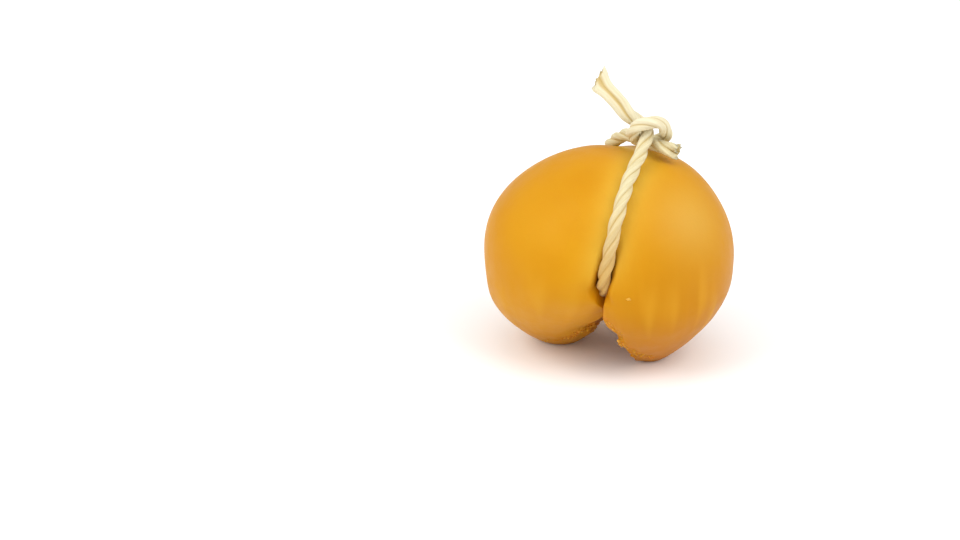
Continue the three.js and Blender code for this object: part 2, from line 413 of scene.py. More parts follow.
def unit(vectors):
    return vectors / np.linalg.norm(vectors, axis=-1, keepdims=True)


# Form of the cheese: each field is below zero inside

def tie_x(y, z):
    h = z - DOME_CENTRE_Z
    front = TIE_MID_X + TIE_LEAN * h + TIE_BOW * bell(h - TIE_BOW_H, TIE_BOW_SPREAD)
    behind = smooth_step(TIE_BACK_FROM_Y, TIE_BACK_FULL_Y, y)
    return front - TIE_BACK_SHIFT * behind * smooth_step(TIE_BACK_FROM_H, TIE_BACK_FULL_H, h)


def lump(x, y, z):
    wave_x, wave_y, wave_z, wave_slant = LUMP_WAVES
    phase_x, phase_y = LUMP_PHASES
    level = np.sin(x * wave_x + phase_x) * np.sin(y * wave_y + phase_y)
    return level + np.sin(z * wave_z + x * wave_slant)


def tear(x, y, z):
    wave_x, wave_y, wave_z, wave_slant = TEAR_COARSE_WAVES
    phase_x, phase_y = TEAR_COARSE_PHASES
    level = np.sin(x * wave_x + phase_x) * np.sin(y * wave_y + phase_y)
    coarse = level + np.sin(z * wave_z + y * wave_slant)
    wave_x, wave_y, wave_z, wave_slant = TEAR_FINE_WAVES
    fine = np.sin(x * wave_x - y * wave_y + TEAR_FINE_PHASE) * np.sin(z * wave_z + y * wave_slant)
    return TEAR_COARSE_SHARE * coarse + TEAR_FINE_SHARE * fine


def dome_field(x, y, z):
    h = z - DOME_CENTRE_Z
    lower = smooth_step(ROUNDNESS_UPPER_H, ROUNDNESS_LOWER_H, h)
    power = ROUNDNESS_UPPER + (ROUNDNESS_LOWER - ROUNDNESS_UPPER) * lower
    half_height = np.where(h > 0, DOME_RISE, DOME_DROP)
    total = (
        np.abs(x / HALF_WIDTH) ** power
        + np.abs(y / HALF_DEPTH) ** power
        + np.abs(h / half_height) ** power
    )
    swell_x, swell_y, swell_z = SWELL_CENTRE
    from_swell = np.sqrt((x - swell_x) ** 2 + (y - swell_y) ** 2 + (z - swell_z) ** 2)
    return (
        (total ** (1 / power) - 1) * FIELD_SCALE
        - SWELL_LIFT * bell(from_swell, SWELL_REACH)
        + LUMP_HEIGHT * lump(x, y, z)
    )


def foot_field(x, y, z, middle):
    on_right = x > middle
    foot_x = np.where(on_right, FOOT_RIGHT_X, FOOT_LEFT_X)
    foot_y = np.where(on_right, FOOT_RIGHT_Y, FOOT_LEFT_Y)
    outer_spread = np.where(on_right, FOOT_RIGHT_SPREAD, FOOT_LEFT_SPREAD)
    outward = np.where(on_right, x - foot_x, foot_x - x)
    across = outward * np.where(outward < 0, FOOT_INNER_SPREAD, outer_spread)
    lengthwise = (y - foot_y) * np.where(y > foot_y, FOOT_BACK_SPREAD, 1)
    reach = np.hypot(across, lengthwise) - FOOT_RADIUS
    return reach * math.sin(FOOT_SLOPE) - z * math.cos(FOOT_SLOPE)


def groove_depth(aside, z, closed, pinched):
    h = z - DOME_CENTRE_Z
    valley_low = smooth_step(VALLEY_TOP_H, VALLEY_LOW_H, h)
    valley = VALLEY_DEPTH_TOP + (VALLEY_DEPTH_LOW - VALLEY_DEPTH_TOP) * valley_low
    valley = valley * (1 - np.where(aside < 0, PINCH_VALLEY_FILL, 0) * pinched)
    channel_low = smooth_step(CHANNEL_TOP_H, CHANNEL_LOW_H, h)
    channel = CHANNEL_DEPTH_TOP + (CHANNEL_DEPTH_LOW - CHANNEL_DEPTH_TOP) * channel_low
    channel = (channel - CLOSED_RISE * closed) * (1 - PINCH_FILL * pinched)
    narrowing = np.where(aside > 0, smooth_step(VALLEY_WIDE_H, VALLEY_NARROW_H, h), 0)
    valley_spread = VALLEY_SPREAD + (VALLEY_SPREAD_UPPER_RIGHT - VALLEY_SPREAD) * narrowing
    channel_spread = CHANNEL_SPREAD + (CLOSED_SPREAD - CHANNEL_SPREAD) * closed
    return valley * bell(aside, valley_spread) + channel * bell(aside * aside, channel_spread**2)


def cleft_field(aside, y, z, hugged, pinched):
    fold_z = FOLD_Z + FOLD_RISE * (y / HALF_DEPTH) ** 2
    left = SLOT_SPREAD_LEFT * np.maximum(FOLD_Z - z, 0)
    lean = SLOT_LEAN_RIGHT * np.maximum(SLOT_OPEN_Z - z, 0)
    right = SLOT_OPENING_RIGHT * smooth_step(SLOT_CLOSED_Z, SLOT_OPEN_Z, z) + lean
    slot = SLOT_HALF + (HUG_HALF - SLOT_HALF) * hugged
    half = slot + np.where(aside > 0, right, left) + (PINCH_HALF - slot) * pinched
    return np.minimum(half - np.abs(aside), fold_z - z)


def shut_shares(y, z):
    """How far a height is above the cleft's open mouth, how far the cleft hugs the cord, and its pinch."""
    above_mouth = smooth_step(PINCH_OPEN_Z, PINCH_SHUT_Z, z)
    hug = above_mouth * smooth_step(HUG_FROM_Y, HUG_FULL_Y, np.abs(y))
    return above_mouth, hug, hug * smooth_step(PINCH_TOP_Z, PINCH_FULL_Z, z)


def skin_and_cleft(x, y, z, closing=0):
    """The field of the grooved skin, that of the cleft, the distance beside the tie, and the pinch."""
    above_mouth, hug, pinch = (closing * share for share in shut_shares(y, z))
    middle = tie_x(y, z) + CREASE_SHIFT * pinch
    form = smooth_max(dome_field(x, y, z), foot_field(x, y, z, middle), FOOT_BLEND)
    mouth = (
        smooth_step(-MOUTH_DEPTH, -MOUTH_FULL_DEPTH, form)
        * smooth_step(MOUTH_TOP_H, MOUTH_FULL_H, z - DOME_CENTRE_Z)
        * smooth_step(MOUTH_FROM_Y, MOUTH_FULL_Y, y)
    )
    aside = x - middle + MOUTH_SHIFT * mouth * (1 - above_mouth)
    on_right = smooth_step(-CLOSED_BLEND, CLOSED_BLEND, aside)
    end_z = CLOSED_LEFT_END_Z + (CLOSED_RIGHT_END_Z - CLOSED_LEFT_END_Z) * on_right
    full_z = CLOSED_LEFT_FULL_Z + (CLOSED_RIGHT_FULL_Z - CLOSED_LEFT_FULL_Z) * on_right
    closed = closing * smooth_step(end_z, full_z, z)
    skin = form + groove_depth(aside, z, closed, pinch)
    near_skin = smooth_step(-PINCH_DEPTH, -PINCH_FULL_DEPTH, form)
    cleft = cleft_field(aside, y, z, hug * near_skin, pinch * near_skin)
    return skin, cleft, aside, pinch


def torn_share(skin, cleft, z):
    return bell(skin - cleft, TEAR_REACH) * smooth_step(TEAR_TOP_Z, TEAR_FULL_Z, z)


def cheese_field(x, y, z, closing=0):
    """The whole cheese: as the solid is, or with a closing of 1 as it shuts on the cord."""
    skin, cleft, _, pinch = skin_and_cleft(x, y, z, closing)
    rounding = RIM_ROUNDING + (PINCH_RIM_ROUNDING - RIM_ROUNDING) * pinch
    body = smooth_max(skin, cleft, rounding)
    body = body + TEAR_HEIGHT * torn_share(skin, cleft, z) * tear(x, y, z)
    return smooth_max(body, -z, FLOOR_ROUNDING)


def closed_field(x, y, z):
    return cheese_field(x, y, z, closing=1)


def room_field(x, y, z):
    """Above zero where a ball as large as the cord's room is clear of the solid cheese."""
    least = np.minimum(cheese_field(x - CORD_ROOM, y, z), cheese_field(x + CORD_ROOM, y, z))
    for step in range(ROOM_DIRECTIONS):
        angle = 2 * math.pi * step / ROOM_DIRECTIONS
        for side in ROOM_SIDES:
            spread = CORD_ROOM * math.sqrt(1 - side * side)
            beside = cheese_field(
                x + CORD_ROOM * side, y + spread * math.cos(angle), z + spread * math.sin(angle)
            )
            least = np.minimum(least, beside)
    return least


def solve_lengths(field, places, count):
    """Length along each of the lines to where the field rises through zero."""
    inside = np.full(count, float(RAY_START))
    still_in = np.ones(count, bool)
    length = RAY_START
    while length < RAY_END and still_in.any():
        rays = np.flatnonzero(still_in)
        below = field(*places(np.full(len(rays), float(length)), rays)) < 0
        inside[rays[below]] = length
        still_in[rays[~below]] = False
        length += RAY_STEP
    outside = inside + RAY_STEP
    every = np.arange(count)
    for _ in range(BISECTIONS):
        middle = (inside + outside) / 2
        below = field(*places(middle, every)) < 0
        inside = np.where(below, middle, inside)
        outside = np.where(below, outside, middle)
    return inside


# Loop of the cord round the cheese, by the angle from straight down through the front

LOOP_DEGREES = np.arange(LOOP_FRONT_END, LOOP_BACK_END - 360, -LOOP_STEP)


def loop_places(lengths, rays):
    angles = np.radians(LOOP_DEGREES[rays])
    y = -np.sin(angles) * lengths
    z = DOME_CENTRE_Z - np.cos(angles) * lengths
    return tie_x(y, z), y, z


LOOP_LENGTHS = solve_lengths(room_field, loop_places, len(LOOP_DEGREES)) + CORD_SLACK


# Meshes

def closed_tube(rings, first, last):
    """Points and faces of a stack of rings, closed by a fan at each end."""
    count, sides, _ = rings.shape
    points = np.concatenate([rings.reshape(-1, 3), [first], [last]])
    following = np.roll(np.arange(sides), -1)
    quads = []
    for ring in range(count - 1):
        base = ring * sides
        corners = [base + np.arange(sides), base + following]
        corners += [base + sides + following, base + sides + np.arange(sides)]
        quads.append(np.stack(corners, axis=1))
    faces = np.concatenate(quads).tolist()
    end = (count - 1) * sides
    top = count * sides
    for side in range(sides):
        faces.append([top, int(following[side]), side])
        faces.append([top + 1, end + side, end + int(following[side])])
    return points, faces


def add_object(name, points, faces, material):
    mesh = bpy.data.meshes.new(name)
    mesh.from_pydata((points * MM).tolist(), [], faces)
    mesh.polygons.foreach_set("use_smooth", np.ones(len(mesh.polygons), bool))
    mesh.materials.append(material)
    mesh.update()
    made = bpy.data.objects.new(name, mesh)
    bpy.context.scene.collection.objects.link(made)
    return made


def add_values(mesh, name, values):
    attribute = mesh.attributes.new(name, "FLOAT", "POINT")
    attribute.data.foreach_set("value", values.astype(np.float32))


def add_vectors(mesh, name, vectors):
    attribute = mesh.attributes.new(name, "FLOAT_VECTOR", "POINT")
    attribute.data.foreach_set("vector", vectors.astype(np.float32).ravel())


def grain(points, size, offset=0.0):
    """Smooth noise, about -1 to 1, with features of that size in millimetres."""
    shifted = points / size + offset
    return np.array([noise.noise(p) for p in shifted.tolist()])


# Cheese

def cheese_rings():
    """Rings of surface points from the right end to the left, and the two end points."""
    rows = np.arange(1, GRID_ROWS) / GRID_ROWS
    row = (1 - 2 * rows)[:, None] + np.zeros(GRID_COLUMNS)[None, :]
    around = (2 * math.pi * np.arange(GRID_COLUMNS) / GRID_COLUMNS)[None, :] + np.zeros(row.shape)
    row = np.concatenate([[1.0], row.ravel(), [-1.0]])
    around = np.concatenate([[0.0], around.ravel(), [0.0]])
    longitude = around - BASE_DENSITY * np.sin(around)
    over_slot = smooth_step(SLOT_DENSITY_FROM, SLOT_DENSITY_FULL, np.cos(longitude))
    density = GROOVE_DENSITY + (SLOT_DENSITY - GROOVE_DENSITY) * over_slot
    latitude = math.pi / 2 * (density * row + (1 - density) * row**3)
    ring = np.cos(latitude)
    y = HALF_DEPTH * ring * np.sin(longitude)
    z = DOME_CENTRE_Z * (1 - ring * np.cos(longitude))
    _, _, pinch = shut_shares(y, z)
    x = HALF_WIDTH * np.sin(latitude) + (tie_x(y, z) + CREASE_SHIFT * pinch) * ring * ring
    apart = np.clip(row / RAY_TURN, -1, 1) * smooth_step(RAY_SPREAD_FROM_Z, RAY_SPREAD_FULL_Z, z)
    start = np.zeros((len(row), 3))
    start[:, 0] = tie_x(np.zeros(1), np.full(1, float(RAY_CENTRE_Z))) + RAY_SPREAD * apart
    start[:, 2] = RAY_CENTRE_Z
    ray = unit(np.stack([x, y, z], axis=1) - start)

    def places(lengths, rays):
        return (start[rays] + ray[rays] * lengths[:, None]).T

    points = start + ray * solve_lengths(closed_field, places, len(row))[:, None]
    return points[1:-1].reshape(GRID_ROWS - 1, GRID_COLUMNS, 3), points[0], points[-1]


def streak_pattern(x, y, z):
    """Stretch marks of the curd that run down each lobe to its tip."""
    on_right = x > tie_x(y, z)
    around = np.arctan2(
        y - np.where(on_right, FOOT_RIGHT_Y, FOOT_LEFT_Y),
        x - np.where(on_right, FOOT_RIGHT_X, FOOT_LEFT_X),
    )
    lines = np.stack(
        [STREAK_COUNT * np.cos(around), STREAK_COUNT * np.sin(around), z / STREAK_LENGTH], axis=1
    )
    return grain(lines, 1, STREAK_OFFSET)


def point_normals(points, faces):
    mesh = bpy.data.meshes.new("surface")
    mesh.from_pydata(points.tolist(), [], faces)
    normals = np.zeros(len(points) * 3, np.float32)
    mesh.vertex_normals.foreach_get("vector", normals)
    bpy.data.meshes.remove(mesh)
    return normals.reshape(-1, 3)


def from_line(points, corners):
    """Distance of each point from a line through the corners."""
    least = np.full(len(points), np.inf)
    for start, end in zip(corners[:-1], corners[1:]):
        start = np.array(start)
        step = np.array(end) - start
        share = np.clip((points - start) @ step / (step @ step), 0, 1)
        least = np.minimum(least, np.linalg.norm(points - start - share[:, None] * step, axis=1))
    return least


def rim_draw(aside, y, z):
    """How far the rims of the cleft's mouth are drawn together, so that the lobes meet in a crease."""
    start, full, fade, end = RIM_DRAW_HEIGHTS
    share = smooth_step(start, full, z) * smooth_step(end, fade, z)
    left = RIM_DRAW_LEFT * share + CHEEK_DRAW * bell(z - CHEEK_Z, CHEEK_SPREAD)
    drawn = np.where(aside < 0, left, -RIM_DRAW_RIGHT * share)
    at_mouth = smooth_step(RIM_DRAW_FROM_Y, RIM_DRAW_FULL_Y, np.abs(y))
    return drawn * at_mouth * bell(aside, RIM_DRAW_REACH)


def pale_share(aside, z):
    """How far the skin pales beside the tie, partly its own unsmoked band and partly painted light against
    the groove's shade, with a painted highlight near the top on the right: more on the left and near the
    top.
    """
    right = PALE_RIGHT + (1 - PALE_RIGHT) * smooth_step(PALE_RIGHT_FROM_Z, PALE_RIGHT_FULL_Z, z)
    return np.where(aside < 0, 1, right) * smooth_step(PALE_FROM_Z, PALE_FULL_Z, z)


def low_share(x, z):
    """How far the skin takes its deeper tone: more low down and on the right lobe."""
    on_right = smooth_step(LOW_TONE_LEFT_X, LOW_TONE_RIGHT_X, x)
    low = smooth_step(LOW_TONE_TOP_Z, LOW_TONE_FULL_Z, z)
    return low * (LOW_TONE_LEFT + (1 - LOW_TONE_LEFT) * on_right)


def lip_share(points, skin, cleft):
    """How far the surface is torn: along the two lips, and less along the rest of the low rims."""
    z = points[:, 2]
    left_lip = bell(from_line(points, LEFT_LIP), LIP_WIDTH)
    right_lip = bell(from_line(points, RIGHT_LIP), LIP_WIDTH)
    low_rim = smooth_step(RIM_TORN_TOP_Z, RIM_TORN_FULL_Z, z)
    rims = RIM_TORN_SHARE * torn_share(skin, cleft, z) * low_rim
    return np.maximum(np.maximum(left_lip, right_lip), rims)


def crumb_form():
    """Points and faces of a ball of radius 1."""
    ball = bmesh.new()
    bmesh.ops.create_icosphere(ball, subdivisions=CRUMB_SUBDIVISIONS, radius=1)
    points = np.array([vertex.co[:] for vertex in ball.verts])
    faces = [[vertex.index for vertex in face.verts] for face in ball.faces]
    ball.free()
    return points, faces


def crumbs(points, normals, torn):
    """Small lumps of curd on the torn lips, each with the surface point that it clings to and its tone."""
    chance = np.random.default_rng(CRUMB_SEED)
    form, form_faces = crumb_form()
    weight = torn**2
    roots = chance.choice(len(points), CRUMB_COUNT, p=weight / weight.sum())
    larger = chance.random(CRUMB_COUNT) ** CRUMB_RADIUS_POWER
    radii = CRUMB_RADIUS_LEAST + (CRUMB_RADIUS_MOST - CRUMB_RADIUS_LEAST) * larger
    tones = chance.uniform(CRUMB_TONE_LEAST, 1, CRUMB_COUNT)
    speck = np.argmin(np.linalg.norm(points - np.array(SPECK_PLACE), axis=1))
    roots = np.append(roots, speck)
    radii = np.append(radii, SPECK_RADIUS)
    tones = np.append(tones, SPECK_TONE)
    made = []
    faces = []
    for root, radius in zip(roots, radii):
        lump_offset = chance.random() * CRUMB_LUMP_OFFSETS
        lumps = 1 + CRUMB_LUMP_HEIGHT * grain(form, CRUMB_LUMP_SIZE, lump_offset)
        stretch = chance.uniform(CRUMB_STRETCH_LEAST, CRUMB_STRETCH_MOST, 3)
        shape = form * lumps[:, None] * stretch * radius
        base = sum(len(m) for m in made)
        made.append(points[root] - normals[root] * radius * CRUMB_SINK + shape)
        faces += [[corner + base for corner in face] for face in form_faces]
    return np.concatenate(made), faces, np.repeat(roots, len(form)), np.repeat(tones, len(form))


def add_cheese(material):
    rings, first, last = cheese_rings()
    points, inward_faces = closed_tube(rings, first, last)
    faces = [face[::-1] for face in inward_faces]
    normals = point_normals(points, faces)
    x, y, z = points.T
    skin, cleft, aside, _ = skin_and_cleft(x, y, z, closing=1)
    torn = lip_share(points, skin, cleft)
    crack = bell(from_line(points, CRACK), CRACK_WIDTH)
    above_floor = smooth_step(RELIEF_FROM_Z, RELIEF_FULL_Z, z)
    flakes = grain(points, FLAKE_SIZE, FLAKE_OFFSET) * FLAKE_HEIGHT
    tatters = grain(points, TATTER_SIZE) * TATTER_HEIGHT + flakes
    outside = smooth_step(-OUTSIDE_BLEND, OUTSIDE_BLEND, skin - cleft)
    streaks = streak_pattern(x, y, z) * smooth_step(STREAK_TOP_Z, STREAK_FULL_Z, z) * outside
    relief = (tatters * torn + streaks * STREAK_HEIGHT - crack * CRACK_DEPTH) * above_floor
    low = low_share(x, z)
    points = points + normals * relief[:, None]
    points[:, 0] += rim_draw(aside, y, z)
    values = {
        "torn": np.maximum(torn, crack),
        # Painted shade on the cleft's inner faces
        "painted_cleft_shade": 1 - outside,
        # Pale band beside the tie: partly unsmoked skin, partly painted light and a painted highlight
        "pale_band_and_painted_light": bell(aside, PALE_SPREAD) * outside * pale_share(aside, z),
        "low": low,
        # Painted highlight on the right shoulder
        "painted_highlight": bell(np.linalg.norm(points - np.array(PAINTED_HIGHLIGHT_PLACE), axis=1), PAINTED_HIGHLIGHT_REACH),
        "streak": streaks,
    }
    crumb_points, crumb_faces, crumb_roots, crumb_tones = crumbs(points, normals, torn * above_floor)
    all_faces = faces + [[corner + len(points) for corner in face] for face in crumb_faces]
    all_points = np.concatenate([points, crumb_points])
    made = add_object("scamorza", all_points, all_faces, material)
    for name, share in values.items():
        add_values(made.data, name, np.concatenate([share, share[crumb_roots]]))
    add_values(made.data, "crumb", np.concatenate([np.zeros(len(points)), crumb_tones]))
    return made


# Cord

KNOT_RIGHT = np.array((math.cos(KNOT_TURN), math.sin(KNOT_TURN), 0))
KNOT_FRONT = np.array((
    math.sin(KNOT_TURN) * math.cos(KNOT_TILT),
    -math.cos(KNOT_TURN) * math.cos(KNOT_TILT),
    math.sin(KNOT_TILT),
))
KNOT_UP = np.cross(KNOT_FRONT, KNOT_RIGHT)


def knot_point(right, up, front):
    return KNOT_CENTRE + KNOT_RIGHT * right + KNOT_UP * up + KNOT_FRONT * front


def wrap_point(degrees):
    angle = math.radians(degrees)
    loose = 1 - smooth_step(WRAP_SETTLE_FROM, WRAP_SETTLE_TO, degrees)
    radius = WRAP_INNER + (WRAP_OUTER - WRAP_INNER) * loose
    rise = WRAP_RISE + WRAP_SLANT * math.cos(angle - math.radians(WRAP_HIGH_SIDE))
    return knot_point(WRAP_SHIFT + radius * math.cos(angle), rise, radius * math.sin(angle))


def cord_points():
    """Points on the cord's middle line from the tip of the tail to the end of the stub."""
    tail = [knot_point(*place) for place in TAIL_PLACES]
    loop = np.stack(loop_places(LOOP_LENGTHS, np.arange(len(LOOP_DEGREES))), axis=1)
    loop_end = [knot_point(*LOOP_END_PLACE)]
    wrap = [wrap_point(degrees) for degrees in range(WRAP_START, WRAP_END + 1, WRAP_STEP)]
    stub = [knot_point(*place) for place in STUB_PLACES]
    return np.concatenate([tail, loop, loop_end, wrap, stub])


def smooth_line(points, spacing):
    """Evenly spaced points on the centripetal curve through the points given, and the length to each."""
    ends = np.concatenate([[2 * points[0] - points[1]], points, [2 * points[-1] - points[-2]]])
    gaps = np.sqrt(np.linalg.norm(np.diff(ends, axis=0), axis=1))
    share = np.linspace(0, 1, CURVE_STEPS, endpoint=False)[:, None]
    pieces = []
    for i in range(1, len(ends) - 2):
        before, here, there, after = ends[i - 1 : i + 3]
        gap_in, gap, gap_out = gaps[i - 1 : i + 2]
        leave = (here - before) / gap_in - (there - before) / (gap_in + gap) + (there - here) / gap
        arrive = (there - here) / gap - (after - here) / (gap + gap_out) + (after - there) / gap_out
        leave = leave * gap
        arrive = arrive * gap
        cubic = 2 * here - 2 * there + leave + arrive
        square = -3 * here + 3 * there - 2 * leave - arrive
        pieces.append(here + leave * share + square * share**2 + cubic * share**3)
    line = np.concatenate(pieces + [points[-1:]])
    along = np.concatenate([[0], np.cumsum(np.linalg.norm(np.diff(line, axis=0), axis=1))])
    stations = np.linspace(0, along[-1], round(along[-1] / spacing) + 1)
    evenly = np.stack([np.interp(stations, along, line[:, k]) for k in range(3)], axis=1)
    return evenly, stations


def line_frames(line, first_side):
    """Directions along, beside and across a line, carried along without twist."""
    ahead = unit(np.gradient(line, axis=0))
    side = np.zeros(line.shape)
    side[0] = unit(first_side - ahead[0] * np.dot(first_side, ahead[0]))
    for i in range(1, len(line)):
        carried = side[i - 1] - ahead[i] * np.dot(side[i - 1], ahead[i])
        side[i] = unit(carried)
    return ahead, side, np.cross(ahead, side)


def strand_crease(strand, theta, stations):
    """Factor on a strand's radius that keeps its section from being quite round."""
    steady_waves, drifting_waves = STRAND_CREASE_WAVES
    steady = np.sin(steady_waves * theta + STRAND_CREASE_PHASE * strand)[None, :]
    drift = stations[:, None] * STRAND_CREASE_DRIFT
    drifting = np.sin(drifting_waves * theta[None, :] + drift + strand)
    return 1 + STRAND_CREASE_DEPTH * steady + STRAND_CREASE_DEPTH * drifting


def strand_fray(strand, theta):
    """How far the fibres round a strand's end stick out past it."""
    coarse_waves, fine_waves = FRAY_WAVES
    coarse = np.sin(coarse_waves * theta + FRAY_PHASE * strand)
    return FRAY_DEPTH * coarse * np.sin(fine_waves * theta + strand)


def add_cord(material):
    line, stations = smooth_line(cord_points(), CORD_STATION)
    length = stations[-1]
    tail_axis = unit(line[0] - line[round(TAIL_FAN_LENGTH / CORD_STATION)])
    ahead, side, cross = line_frames(line, np.cross(KNOT_FRONT, tail_axis))
    laid = smooth_step(TAIL_UNTWIST_FROM, TAIL_UNTWIST_TO, stations)
    turn = 2 * math.pi / CORD_LAY * np.cumsum(laid) * CORD_STATION
    radius = STRAND_RADIUS + (TAIL_STRAND_RADIUS - STRAND_RADIUS) * (1 - laid)
    fan = smooth_step(TAIL_FAN_LENGTH, 0, stations)
    thick = 1 - TAIL_THINNING * fan
    tip = smooth_step(TAIL_FLARE_LENGTH, 0, stations)
    belly = 1 + TAIL_BELLY * smooth_step(TAIL_BELLY_FROM, TAIL_BELLY_FULL, stations)
    flare = belly + TAIL_FLARE * tip**TAIL_FLARE_POWER
    widening = belly + TAIL_STRAND_WIDENING * tip
    splay = 1 + STUB_SPLAY * smooth_step(length - STUB_SPLAY_LENGTH, length, stations)
    fray = smooth_step(FRAY_LENGTH, 0, stations) - smooth_step(length - FRAY_LENGTH, length, stations)
    theta = 2 * math.pi * np.arange(STRAND_SIDES) / STRAND_SIDES
    circle = np.tile(np.stack([np.cos(theta), np.sin(theta)], axis=1), (len(stations), 1))
    all_points = []
    all_faces = []
    fibres = []
    outwards = []
    for strand in range(STRANDS):
        phase = math.pi / 2 + 2 * math.pi * strand / STRANDS + turn
        offset = (CORD_RADIUS - radius) * splay
        crease = strand_crease(strand, theta, stations)
        own = theta[None, :] + turn[:, None]
        own_side = radius[:, None] * crease * np.cos(own) * widening[:, None]
        own_cross = radius[:, None] * crease * np.sin(own)
        centre_side = (offset * np.cos(phase))[:, None]
        centre_cross = (offset * np.sin(phase))[:, None]
        outward = np.hypot(centre_side + own_side, centre_cross + own_cross) / CORD_RADIUS
        across = centre_side * flare[:, None] + own_side
        through = (centre_cross + own_cross) * thick[:, None]
        cut = TAIL_CUT_SLANT * across * fan[:, None] ** TAIL_CUT_POWER
        slant = cut + strand_fray(strand, theta) * fray[:, None]
        rings = (
            line[:, None, :]
            + side[:, None, :] * across[..., None]
            + cross[:, None, :] * through[..., None]
            + ahead[:, None, :] * slant[..., None]
        )
        points, faces = closed_tube(rings, rings[0].mean(axis=0), rings[-1].mean(axis=0))
        base = sum(len(p) for p in all_points)
        all_points.append(points)
        all_faces += [[corner + base for corner in face] for face in faces]
        along = np.repeat(stations * FIBRE_STRETCH, STRAND_SIDES) + strand * FIBRE_OFFSET
        fibre = np.column_stack([circle * STRAND_RADIUS, along])
        fibres.append(np.concatenate([fibre, fibre[:1], fibre[-1:]]))
        outwards.append(np.concatenate([outward.ravel(), [STRAND_END_OUTWARD] * 2]))
    points = np.concatenate(all_points)
    _, y, z = points.T
    made = add_object("tie_cord", points, all_faces, material)
    add_vectors(made.data, "fibre", np.concatenate(fibres))
    add_values(made.data, "outward", np.concatenate(outwards))
    # Partly stain from the cheese, partly painted shade and bounce light, low on the cord's front
    add_values(made.data, "stain_and_shade", smooth_step(CORD_STAIN_AND_SHADE_TOP_Z, CORD_STAIN_AND_SHADE_FULL_Z, z) * (y < 0))
    # Painted light: paler high up, at the knot and tail
    add_values(made.data, "painted_top_light", smooth_step(CORD_PAINTED_LIGHT_FROM_Z, CORD_PAINTED_LIGHT_FULL_Z, z))
    return made


# Materials

def srgb(red, green, blue):
    """A colour given as a screen shows it, from 0 to 255, as the shader takes it."""
    linear = []
    for value in (red, green, blue):
        share = value / 255
        linear.append(share / 12.92 if share <= 0.04045 else ((share + 0.055) / 1.055) ** 2.4)
    return (*linear, 1.0)


class Shader:
    """A material's node tree with a short way to add nodes."""

    # Places of the colours among a Mix node's sockets, where other kinds share their names
    FIRST_COLOUR = 6
    SECOND_COLOUR = 7
    MIXED_COLOUR = 2

    def __init__(self, name):
        self.material = bpy.data.materials.new(name)
        self.material.use_nodes = True
        self.tree = self.material.node_tree
        self.surface = self.tree.nodes["Principled BSDF"]

    def add(self, kind, inputs=None, **settings):
        made = self.tree.nodes.new("ShaderNode" + kind)
        for name, value in settings.items():
            setattr(made, name, value)
        for name, value in (inputs or {}).items():
            self.put(made.inputs[name], value)
        return made

    def put(self, socket, value):
        if isinstance(value, bpy.types.NodeSocket):
            self.tree.links.new(value, socket)
        else:
            socket.default_value = value

    def mask(self, name):
        return self.add("Attribute", attribute_name=name).outputs["Fac"]

    def mix(self, share, first, second):
        made = self.add("Mix", data_type="RGBA")
        self.put(made.inputs["Factor"], share)
        self.put(made.inputs[self.FIRST_COLOUR], first)
        self.put(made.inputs[self.SECOND_COLOUR], second)
        return made.outputs[self.MIXED_COLOUR]

    def spread(self, value, low, high, to_low=0.0, to_high=1.0):
        made = self.add(
            "MapRange",
            {"Value": value, "From Min": low, "From Max": high, "To Min": to_low, "To Max": to_high},
            interpolation_type="SMOOTHSTEP",
        )
        return made.outputs["Result"]

    def times(self, first, second):
        made = self.add("Math", operation="MULTIPLY")
        self.put(made.inputs[0], first)
        self.put(made.inputs[1], second)
        return made.outputs["Value"]

    def noise(self, vector, scale, detail, roughness=0.5):
        made = self.add(
            "TexNoise",
            {"Vector": vector, "Scale": scale, "Detail": detail, "Roughness": roughness},
        )
        return made.outputs["Fac"]

    def bump(self, height, distance, strength, normal=None):
        inputs = {"Height": height, "Distance": distance, "Strength": strength}
        if normal is not None:
            inputs["Normal"] = normal
        return self.add("Bump", inputs).outputs["Normal"]


